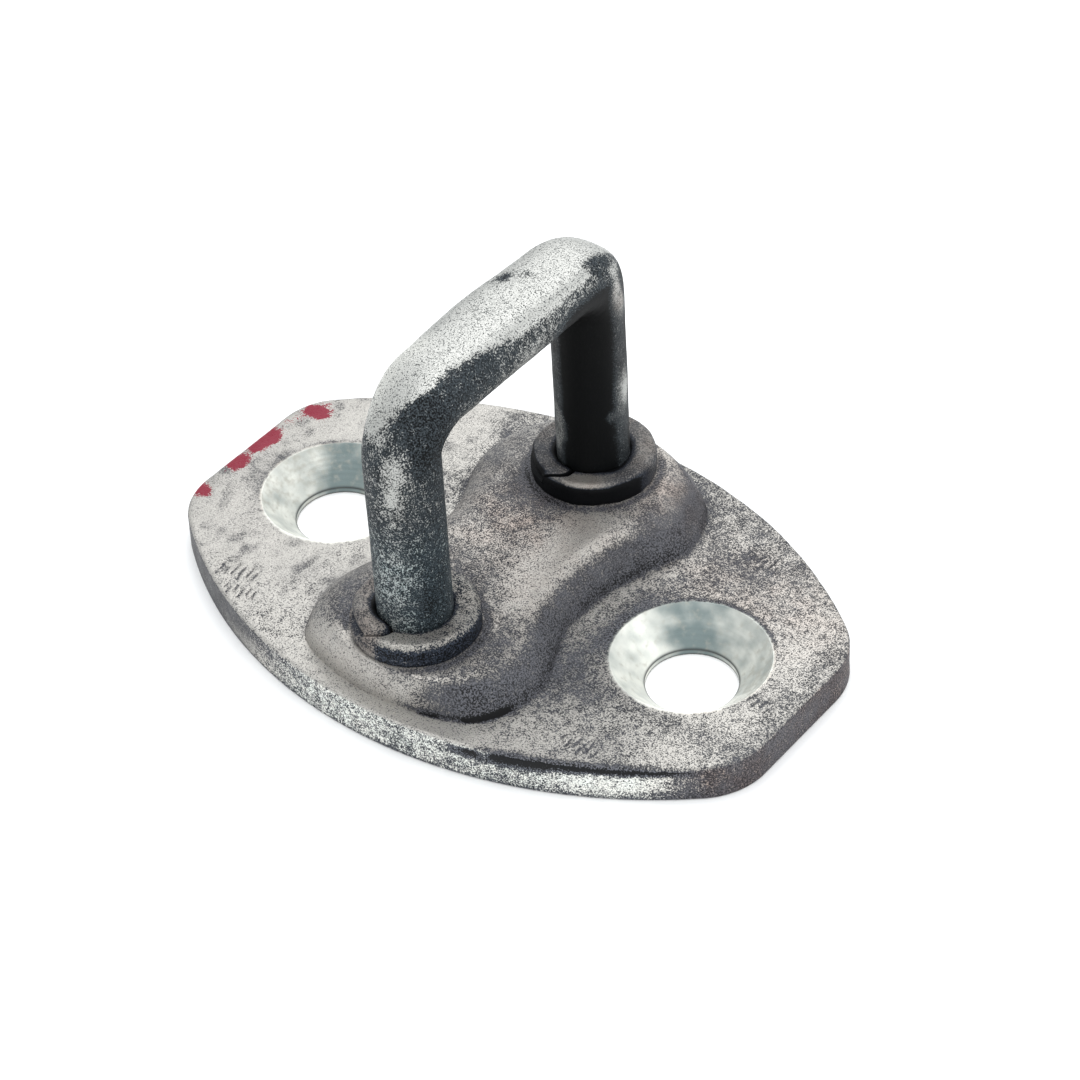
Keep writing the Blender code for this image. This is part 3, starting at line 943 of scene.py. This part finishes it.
def crown_wear(points, up, lumps, small):
    """Share of oxide round the crown and bends. The pale worn facet on top ends at a
    wandering line on its +X side and on the rear bend."""
    x, y, z = (points / MM).T
    edge_x = 1.7 + 2.4 * rise(y, -13, 6) - 1.5 * rise(y, -12, -16) + 0.35 * small
    facet = rise(x, edge_x + 0.9, edge_x - 0.1) * rise(up, 0.35, 0.75) * rise(z, 35.5, 37.5)
    facet *= 1 - rise(y, 10.4, 12.2) * rise(x, 1.9, 3.0)
    worn = 0.11 + 0.05 * lumps + 0.08 * rise(x, 0.5, -3) * rise(y, -6, 0)
    worn -= 0.06 * rise(x, 0.0, -3) * rise(y, -3, -9)
    worn += patches(points, ((-2.6, 5.4, 0.7, 1.0, 1.00), (-0.8, 6.8, 0.9, 0.7, 0.45)))
    side = 0.62 + 0.08 * lumps + 0.30 * rise(y, 3, -7)
    side -= 0.24 * rise(z, 36.5, 34.5) * between(y, -13, -6, 0, 4)
    side -= 0.20 * rise(z, 36.0, 34.5) * rise(np.abs(y + 10.5), 2.5, 0.5)
    side += 0.90 * rise(y, 4, 8) * rise(z, 37.2, 34.8) * rise(x, -2, 1)
    side += 0.30 * rise(y, 10.5, 12.5) * rise(x, 2.0, 3.0) * rise(z, 36, 37.5)
    front = 1.08 + 0.10 * lumps - 0.80 * rise(x, 1.3, -1.4) * rise(z, 32.0, 34.5)
    front -= 0.40 * spot(points, (1.5, -18.5, 34.0), (1.0, 1.2, 1.3))
    front -= 0.35 * rise(z, 34, 31) * rise(y, -15.0, -12.0)
    side += (front - side) * rise(y, -10.5, -14.0)
    side += (0.38 - side) * rise(x, 1.6, 0.4) * rise(y, 11, 13)
    return side + (worn - side) * facet


def turn_round_leg(points, leg_y):
    """Angle round a leg in degrees, from the side that faces +X."""
    return np.degrees(np.arctan2(points[:, 1] - leg_y, points[:, 0]))


def front_leg_wear(points, lumps, small):
    """Charcoal, painted darker on the side facing +X and paler low down on the side facing
    -Y as painted shade and light, with a white speckled patch high on its front.
    """
    z = points[:, 2] / MM
    turn = turn_round_leg(points, -LEG_Y)
    # The turn terms paint the side facing +X darker and the side facing -Y paler low down: painted
    # shade and painted light
    dark = 0.80 + 0.08 * lumps + 0.06 * small + 0.10 * rise(turn, -40, -25)
    dark -= 0.20 * between(turn, -95, -80, -60, -40) * rise(z, 14, 11)
    dark += 0.16 * bell(turn, -48, 12) * bell(z, 22.5, 2.5)
    dark += 0.24 * rise(turn, -45, -25) * rise(z, 29, 32)
    return dark + patches(points, (
        (1.9, -18.8, 31.6, 1.2, 1.5, 1.8, -0.62),
        (1.5, -19.2, 28.3, 1, 1.3, 2.1, -0.56),
        (1.7, -19.1, 25.3, 1.4, 1, 2.2, -0.14),
        (1.4, -19.2, 17.5, 2.8, 1.6, 4, -0.28),
        (3.4, -17.2, 14, 1.6, 2, 3, 0.26),
    ))


def rear_leg_wear(points, lumps):
    """Almost black at the front, grey at the sides where a painted highlight runs along them,
    charcoal behind, and rubbed pale in two spots on the right."""
    z = points[:, 2] / MM
    turn = turn_round_leg(points, LEG_Y)
    dark = 1.55 + 0.05 * lumps - 0.34 * rise(cloud(points, 2.5, 33), 0.0, 0.5) * rise(z, 23, 16)
    # Painted highlight: both sides of the leg are made grey
    dark -= (0.54 - 0.26 * rise(turn, 12, 30)) * rise(turn, -38, 0) + 0.62 * rise(turn, -84, -112)
    dark += (0.95 + 0.1 * lumps - dark) * rise(np.abs(turn + 45), 90, 125)
    return dark + patches(points, (
        (3.8, 16.6, 20.3, 1, 1.3, 2.6, -0.75),
        (3.4, 14, 17.7, 0.9, 0.8, 0.9, -0.45),
    ))


def paint_bow(mesh):
    """Wear of the bar: pale pitted crown, dark oxidised legs, the front one bluish low
    down and the rear one brown high up, with a painted glint on the crown and painted
    shade and highlights on the legs."""
    points = read_points(mesh)
    up = read_normals(mesh)[:, 2]
    x, y, z = (points / MM).T
    lumps = cloud(points, 3.6, 31)
    small = cloud(points, 1.2, 32)
    crown = crown_wear(points, up, lumps, small)
    legs = np.where(y < 0, front_leg_wear(points, lumps, small), rear_leg_wear(points, lumps))
    leg = np.where(y < 0, rise(z, 34.0, 33.0), rise(z, 36.5, 31.5)) * rise(np.abs(y), 10.0, 11.6)
    dark = crown + (legs - crown) * leg
    dark += patches(points, (
        (4, 15.4, 34.6, 1.6, 1.2, 2.4, -1),  # rubbed on the rear bend's side
        (3.9, 16.6, 31.4, 1, 1, 1.6, -0.55),
    ))
    dark += (0.55 + 0.1 * lumps - dark) * rise(z, 8.6, 7.9)
    rear_leg = leg * (y > 0)
    front_leg = leg * (y < 0)
    # Painted glint on the crown's top, towards its front and -X side
    painted_sheen = rise(x, -1, -3.5) * rise(y, -5, -9) * rise(z, 34, 37)
    stain = 0.3 * rear_leg * rise(z, 20, 27) - 0.5 * front_leg * rise(z, 26, 20)
    dull = 0.1 * leg - 1.2 * painted_sheen
    paint(mesh, dark=dark, dull=dull, speckled=1 - 0.7 * rear_leg, stain=stain)


def striker_bow(material):
    """The bar as one sweep from rivet head to rivet head."""
    front = half_bow_rings(-1, FRONT_CORNER_FULLNESS, 1)
    rear = half_bow_rings(1, REAR_CORNER_FULLNESS, 0)
    skin = Skin()
    first, last = skin.stack(front + rear[-2::-1])
    skin.cap(first)
    skin.cap(last)
    bow = mesh_object("bow_skin", skin)
    shape_bow(bow.data)
    paint_bow(bow.data)
    finish_piece(bow, "striker_bow", material)


# Collars


def ring_section(high, foot_round, top_round, inner_round):
    """(radius, z) round a ring's section from its inner foot outwards, up and back in."""
    inner = COLLAR_BORE_RADIUS
    outer = COLLAR_RADIUS
    low = COLLAR_FOOT
    up = steps_through(low + foot_round, high - top_round, 6)[1:-1]
    across = steps_through(outer - top_round, inner + inner_round, 6)[1:-1]
    section = [(inner, low)]
    section += arc((outer - foot_round, low + foot_round), foot_round, -pi / 2, 0, 4)
    section += [(outer, z) for z in up]
    section += arc((outer - top_round, high - top_round), top_round, 0, pi / 2, 8)
    section += [(radius, high) for radius in across]
    section += arc((inner + inner_round, high - inner_round), inner_round, pi / 2, pi, 6)
    return np.array(section)


def tail_section(rise_height):
    """The same ring where its tail rides up: a low flange with a round bead on top."""
    flange = COLLAR_FOOT + COLLAR_FLANGE
    top = COLLAR_FOOT + COLLAR_HEIGHT + rise_height
    bead = (top - flange) / 2
    section = ring_section(top, *TAIL_ROUNDINGS)
    above = section[:, 1] > flange
    height = np.clip((section[:, 1] - flange) / bead - 1, -1, 1)
    bulge = COLLAR_RADIUS - TAIL_INSET - bead * 0.5 * (1 - np.sqrt(1 - height**2))
    section[above, 0] = np.minimum(section[above, 0], bulge[above])
    return section


def collar_skin(leg_y, rise_height, tail_share):
    """A ring whose crease cuts its top but not its flange. Its tail rides up beside it."""
    top = COLLAR_FOOT + COLLAR_HEIGHT
    plain = ring_section(top, *RING_ROUNDINGS)
    inwards = (COLLAR_RADIUS - plain[:, 0]) / (COLLAR_RADIUS - BAR_RADIUS)
    plain[:, 1] -= COLLAR_DISH * inwards * rise(plain[:, 1], COLLAR_FOOT, top)
    tail = tail_section(rise_height)
    rings = []
    for turn in steps_through(0, 2 * pi, COLLAR_STEPS)[:-1]:
        travelled = turn - CREASE_CROWDING * sin(turn)
        share = tail_share * float(smooth_share(1.25 * (1 - travelled / TAIL_REACH)))
        full = float(smooth_share(travelled / TAIL_END_TURN))
        share *= TAIL_END_SHARE + (1 - TAIL_END_SHARE) * full
        section = plain + (tail - plain) * share
        radius, z = section.T
        outwards = (radius - BAR_RADIUS) / (COLLAR_RADIUS - BAR_RADIUS)
        hook = CREASE_HOOK * outwards**3 * float(rise(cos(travelled), 0.2, 0.95))
        angle = CREASE_ANGLE - travelled - hook
        from_crease = radius * min(travelled, 2 * pi - travelled)
        above = rise(z, COLLAR_FOOT + COLLAR_FLANGE, COLLAR_FOOT + 1.5 * COLLAR_FLANGE)
        groove = CREASE_DEPTH * bell(from_crease, 0, CREASE_WIDTH) * above
        x = radius * np.cos(angle)
        y = leg_y + radius * np.sin(angle)
        rings.append(np.column_stack([x, y, z - groove]))
    skin = Skin()
    loops = [skin.ring(ring) for ring in rings]
    for one, other in zip(loops, loops[1:] + loops[:1]):
        skin.band(one, other)
    return skin


def shape_collar(mesh):
    """Dents and pits all over, and the foot bedded into the pad."""
    points = read_points(mesh)
    height = relief(points, COLLAR_RELIEF)
    height -= PIT_DEPTH * rise(cloud(points, 0.9, 43), 0.45, 0.8)
    push_out(mesh, height * MM)
    points = read_points(mesh)
    points[:, 2] -= COLLAR_BEDDING * rise(points[:, 2], COLLAR_FOOT + 0.5 * MM, COLLAR_FOOT)
    write_points(mesh, points)


def collar_places(points, leg_y):
    """Angle round the leg, distance from its middle and height over the foot in mm."""
    reach = np.hypot(points[:, 0], points[:, 1] - leg_y) / MM
    return turn_round_leg(points, leg_y), reach, (points[:, 2] - COLLAR_FOOT) / MM


def paint_front_collar(mesh):
    """Black, with a speckled grey top, and a paler tail with painted shade below its bead,
    and painted shade where the ring meets the leg.
    """
    points = read_points(mesh)
    turn, reach, height = collar_places(points, -LEG_Y)
    lumps = cloud(points, 2.6, 51)
    top = rise(read_normals(mesh)[:, 2], -0.05, 0.85)
    tail = rise(turn, -84, -92) + rise(turn, 70, 130)
    rubbed = top * bell(turn, -66, 20)
    dark = 1.15 + 0.10 * lumps
    dark += (0.36 + 0.12 * lumps - dark) * np.maximum(top, 0.85 * tail)
    dark += 0.08 * tail - 0.18 * rubbed
    dark += 0.06 * top * rise(turn, -50, -10)
    # Painted shade where the ring meets the leg, deeper beside the tail
    dark += 0.8 * rise(reach, 5.2, 4.3) * tail + 0.5 * rise(reach, 4.7, 4.2)
    dark -= 0.5 * bell(height, 0.35, 0.18) * rise(np.abs(turn + 75), 38, 20)
    # Painted shade in the corner under the tail's bead
    under_bead = bell(height, COLLAR_FLANGE / MM + 0.15, 0.16) * rise(reach, 5.6, 6.0)
    dark += 0.4 * under_bead * between(turn, -175, -160, -102, -94)
    dull = 0.35 + 0.2 * tail - 0.5 * rubbed
    paint(mesh, dark=dark, dull=dull, speckled=1 - 0.2 * tail, stain=0.1 + 0.25 * tail)


def paint_rear_collar(mesh):
    """Black in front, charcoal at the sides, with a smooth top rubbed pale in front, and
    painted shade where it meets the leg.
    """
    points = read_points(mesh)
    turn, reach, _ = collar_places(points, LEG_Y)
    lumps = cloud(points, 2.6, 51)
    top = rise(read_normals(mesh)[:, 2], 0.35, 0.85)
    pale = bell(turn, -62, 24)
    side = rise(np.abs(turn + 85), 55, 100)
    dark = 1.6 - 0.85 * side + 0.10 * lumps
    dark += (0.78 - 0.66 * pale - 0.24 * side + 0.16 * lumps - dark) * top
    # Painted shade where the ring meets the leg
    dark += 0.6 * rise(reach, 5.0, 4.3)
    paint(mesh, dark=dark, dull=0.6 - 0.6 * pale * top, speckled=0.3, stain=0.25)


def collar(node, leg_y, tail, painter, material):
    ring = mesh_object(node + "_skin", collar_skin(leg_y, *tail))
    shape_collar(ring.data)
    painter(ring.data)
    finish_piece(ring, node, material)


# Materials


class Graph:
    """A material's node tree, with short ways to add to it."""

    def __init__(self, name):
        self.material = bpy.data.materials.new(name)
        self.material.use_nodes = True
        self.tree = self.material.node_tree
        self.shader = self.tree.nodes["Principled BSDF"]
        self.place = self.add("ShaderNodeTexCoord").outputs["Object"]

    def add(self, kind, inputs=(), **settings):
        node = self.tree.nodes.new(kind)
        for key, value in settings.items():
            setattr(node, key, value)
        for key, value in dict(inputs).items():
            self.set(node.inputs[key], value)
        return node

    def set(self, socket, value):
        if isinstance(value, bpy.types.NodeSocket):
            self.tree.links.new(value, socket)
        else:
            socket.default_value = value

    def painted(self, name):
        return self.add("ShaderNodeAttribute", attribute_name=name).outputs["Fac"]

    def grain(self, size, detail=2.0, roughness=0.5):
        """Noise with lumps of that size in mm, from 0 to 1."""
        inputs = {"Vector": self.place, "Scale": 1 / (size * MM)}
        inputs |= {"Detail": detail, "Roughness": roughness}
        return self.add("ShaderNodeTexNoise", inputs).outputs["Fac"]

    def sum(self, first, second, scale=1.0):
        """first + second * scale"""
        inputs = {0: second, 1: scale, 2: first}
        return self.add("ShaderNodeMath", inputs, operation="MULTIPLY_ADD").outputs[0]

    def math(self, operation, first, second, **settings):
        inputs = {0: first, 1: second}
        return self.add("ShaderNodeMath", inputs, operation=operation, **settings).outputs[0]

    def times(self, first, second):
        return self.math("MULTIPLY", first, second)

    def ramp(self, value, start, end, low=0.0, high=1.0):
        """From low where value is start to high where it is end."""
        inputs = {"Value": value, "From Min": start, "From Max": end, "To Min": low, "To Max": high}
        node = self.add("ShaderNodeMapRange", inputs, interpolation_type="SMOOTHSTEP")
        return node.outputs["Result"]

    def blend(self, share, one, other):
        """From number one where share is 0 to the other where it is 1."""
        node = self.add("ShaderNodeMix", {0: share}, data_type="FLOAT")
        self.set(node.inputs[2], one)
        self.set(node.inputs[3], other)
        return node.outputs[0]

    def mix(self, share, one, other, blend_type="MIX"):
        """From colour one where share is 0 to the other where it is 1."""
        node = self.add("ShaderNodeMix", data_type="RGBA", blend_type=blend_type)
        factor, first, second = (node.inputs[number] for number in (0, 6, 7))  # its colour sockets
        node.clamp_factor = False
        self.set(factor, share)
        self.set(first, one)
        self.set(second, other)
        return node.outputs[2]

    def look(self, inputs):
        """The material, once its shader has these inputs."""
        for key, value in inputs.items():
            self.set(self.shader.inputs[key], value)
        return self.material

    def bump(self, height, depth):
        """A normal that follows that height, depth in mm."""
        inputs = {"Height": height, "Distance": depth * MM, "Strength": 1.0}
        return self.add("ShaderNodeBump", inputs).outputs["Normal"]


def tone(colour, share=1.0):
    return (*(channel * share for channel in colour), 1)


def oxide_share(graph, specks, blots, smear):
    """How much of each spot is oxide, from sharp specks to a smooth tone as painted."""
    dark = graph.painted("dark")
    level = graph.sum(dark, graph.sum(-1.3, specks, 2.6))
    level = graph.sum(level, graph.sum(-0.45, blots, 0.9))
    sharp = graph.ramp(level, 0.36, 0.70)
    level = graph.sum(dark, graph.sum(-0.12, smear, 0.24))
    level = graph.sum(level, graph.sum(-0.4, specks, 0.8))
    soft = graph.ramp(level, -0.1, 1.1)
    return graph.blend(graph.painted("speckled"), soft, sharp)


def steel_colour(graph, tones, oxide, specks, smear, fine):
    """Pale plating below the oxide, black above it for dirt and painted shade, and brown stain over
    all.
    """
    pale, dull, dark = tones
    plating = graph.mix(graph.ramp(fine, 0.35, 0.65), tone(pale, 0.78), tone(pale))
    plating = graph.mix(graph.painted("dull"), plating, tone(dull))
    coat = graph.mix(graph.ramp(smear, 0.35, 0.65), tone(dark, 1.7), tone(dark))
    flecks = graph.times(graph.painted("speckled"), graph.ramp(specks, 0.55, 0.40))
    coat = graph.mix(flecks, coat, tone(dark, 3.4))
    scatter = graph.sum(-1.0, specks, 2.0)
    dirt_and_painted_shade = graph.sum(graph.painted("dark"), scatter, graph.painted("speckled"))
    coat = graph.mix(graph.ramp(dirt_and_painted_shade, 0.98, 1.22), coat, tone(dark, 0.15))
    stain = graph.times(graph.painted("stain"), graph.ramp(smear, 0.3, 0.7, 0.4, 1.0))
    return graph.mix(stain, graph.mix(oxide, plating, coat), tone(BROWN_STAIN), "MULTIPLY")


def zinc_colour(graph, specks, blots, smear):
    """Bright machined zinc, with a painted teal reflection where painted dull, and mottled where
    painted stained.
    """
    painted_reflection = graph.sum(graph.painted("dull"), graph.sum(-0.3, smear, 0.6))
    zinc = graph.mix(graph.ramp(painted_reflection, 0.0, 1.0), tone(BRIGHT_ZINC), tone(ZINC_IN_PAINTED_REFLECTION))
    mottle = graph.sum(blots, graph.painted("stain"), 0.12)
    zinc = graph.mix(graph.ramp(mottle, 0.50, 0.90, 0.0, 0.60), zinc, tone(MOTTLED_ZINC))
    zinc = graph.mix(graph.ramp(specks, 0.72, 0.80), zinc, tone(ZINC_SPECK))
    return graph.mix(graph.painted("dark"), zinc, tone(ZINC_DIRT))


def worn_steel(name, tones, specular):
    """Plated steel whose dark oxide shows as specks, more of them where the skin is
    painted dark. Bare zinc, brown stain and red paint lie over it where painted so."""
    graph = Graph(name)
    specks = graph.grain(0.17, 3.0, 0.6)
    blots = graph.grain(0.75, 2.0, 0.5)
    smear = graph.grain(2.6, 3.0, 0.55)
    fine = graph.grain(0.11, 1.0)
    bare = graph.painted("bare")
    pits = graph.ramp(graph.grain(0.16, 1.0), 0.58, 0.66, 0.0, 0.85)
    pits = graph.times(graph.painted("speckled"), pits)
    oxide = graph.math("MAXIMUM", oxide_share(graph, specks, blots, smear), pits)
    red = graph.sum(graph.painted("red"), graph.sum(-0.6, specks, 1.2))
    red = graph.ramp(red, 0.38, 0.56)
    colour = steel_colour(graph, tones, oxide, specks, smear, fine)
    colour = graph.mix(bare, colour, zinc_colour(graph, specks, blots, smear))
    colour = graph.mix(red, colour, tone(OLD_RED))

    covered = graph.math("SUBTRACT", oxide, bare, use_clamp=True)
    metal = graph.ramp(covered, 0, 1, 0.80, 0.30)
    metal = graph.times(metal, graph.ramp(red, 0, 1, 1.0, 0.0))
    metal = graph.times(metal, graph.ramp(bare, 0, 1, 1.0, 0.55))
    height = graph.sum(graph.times(covered, -1.0), fine, 0.5)
    return graph.look({
        "Base Color": colour,
        "Roughness": graph.ramp(covered, 0, 1, 0.46, 0.62),
        "Metallic": metal,
        "Normal": graph.bump(height, 0.035),
        "Specular IOR Level": specular,
    })


# Studio


def add_floor():
    half = FLOOR_HALF_SIZE
    mesh = bpy.data.meshes.new("floor")
    corners = [(-half, -half, 0), (half, -half, 0), (half, half, 0), (-half, half, 0)]
    mesh.from_pydata(corners, [], [(0, 1, 2, 3)])
    looks = {"Base Color": tone(FLOOR_COLOUR), "Roughness": FLOOR_ROUGHNESS}
    mesh.materials.append(Graph("pale_floor").look(looks))
    floor = add_object("floor", mesh)
    floor.location.z = CAD_BOX[0].z - FLOOR_GAP


def add_softbox(name, place, size, power):
    light = bpy.data.lights.new(name, "AREA")
    light.shape = "SQUARE"
    light.size = size
    light.energy = power
    lamp = add_object(name, light)
    lamp.location = place
    lamp.rotation_euler = (LIGHT_AIM - Vector(place)).to_track_quat("-Z", "Y").to_euler()


def add_world():
    world = bpy.data.worlds.new("studio")
    world.use_nodes = True
    background = world.node_tree.nodes["Background"]
    background.inputs["Color"].default_value = (*SKY_COLOUR, 1)
    background.inputs["Strength"].default_value = SKY_STRENGTH
    bpy.context.scene.world = world


def add_camera():
    camera = bpy.data.cameras.new("camera")
    camera.lens = CAMERA_LENS
    camera.sensor_width = SENSOR_WIDTH
    camera.clip_start = NEAREST_SEEN
    camera.clip_end = FARTHEST_SEEN
    level = cos(CAMERA_ELEVATION)
    back = Vector((sin(CAMERA_AZIMUTH) * level, -cos(CAMERA_AZIMUTH) * level, sin(CAMERA_ELEVATION)))
    right = (-back).cross(Vector((0, 0, 1))).normalized()
    up = right.cross(-back)
    rolled_right = right * cos(CAMERA_ROLL) + up * sin(CAMERA_ROLL)
    rolled_up = up * cos(CAMERA_ROLL) - right * sin(CAMERA_ROLL)
    holder = add_object("camera", camera)
    turn = Matrix((rolled_right, rolled_up, back)).transposed()
    holder.matrix_world = Matrix.LocRotScale(CAMERA_TARGET + back * CAMERA_DISTANCE, turn, None)
    bpy.context.scene.camera = holder


def main():
    plate_steel = worn_steel("plate_steel_worn", PLATE_TONES, PLATE_SPECULAR)
    bar_steel = worn_steel("bar_steel_worn", BAR_TONES, OXIDE_SPECULAR)
    collar_steel = worn_steel("collar_steel_worn", COLLAR_TONES, OXIDE_SPECULAR)
    base_plate(plate_steel)
    striker_bow(bar_steel)
    collar("front_collar", -LEG_Y, FRONT_TAIL, paint_front_collar, collar_steel)
    collar("rear_collar", LEG_Y, REAR_TAIL, paint_rear_collar, collar_steel)
    add_floor()
    add_world()
    for softbox in SOFTBOXES:
        add_softbox(*softbox)
    add_camera()
    bpy.context.scene.view_settings.view_transform = "Standard"


main()
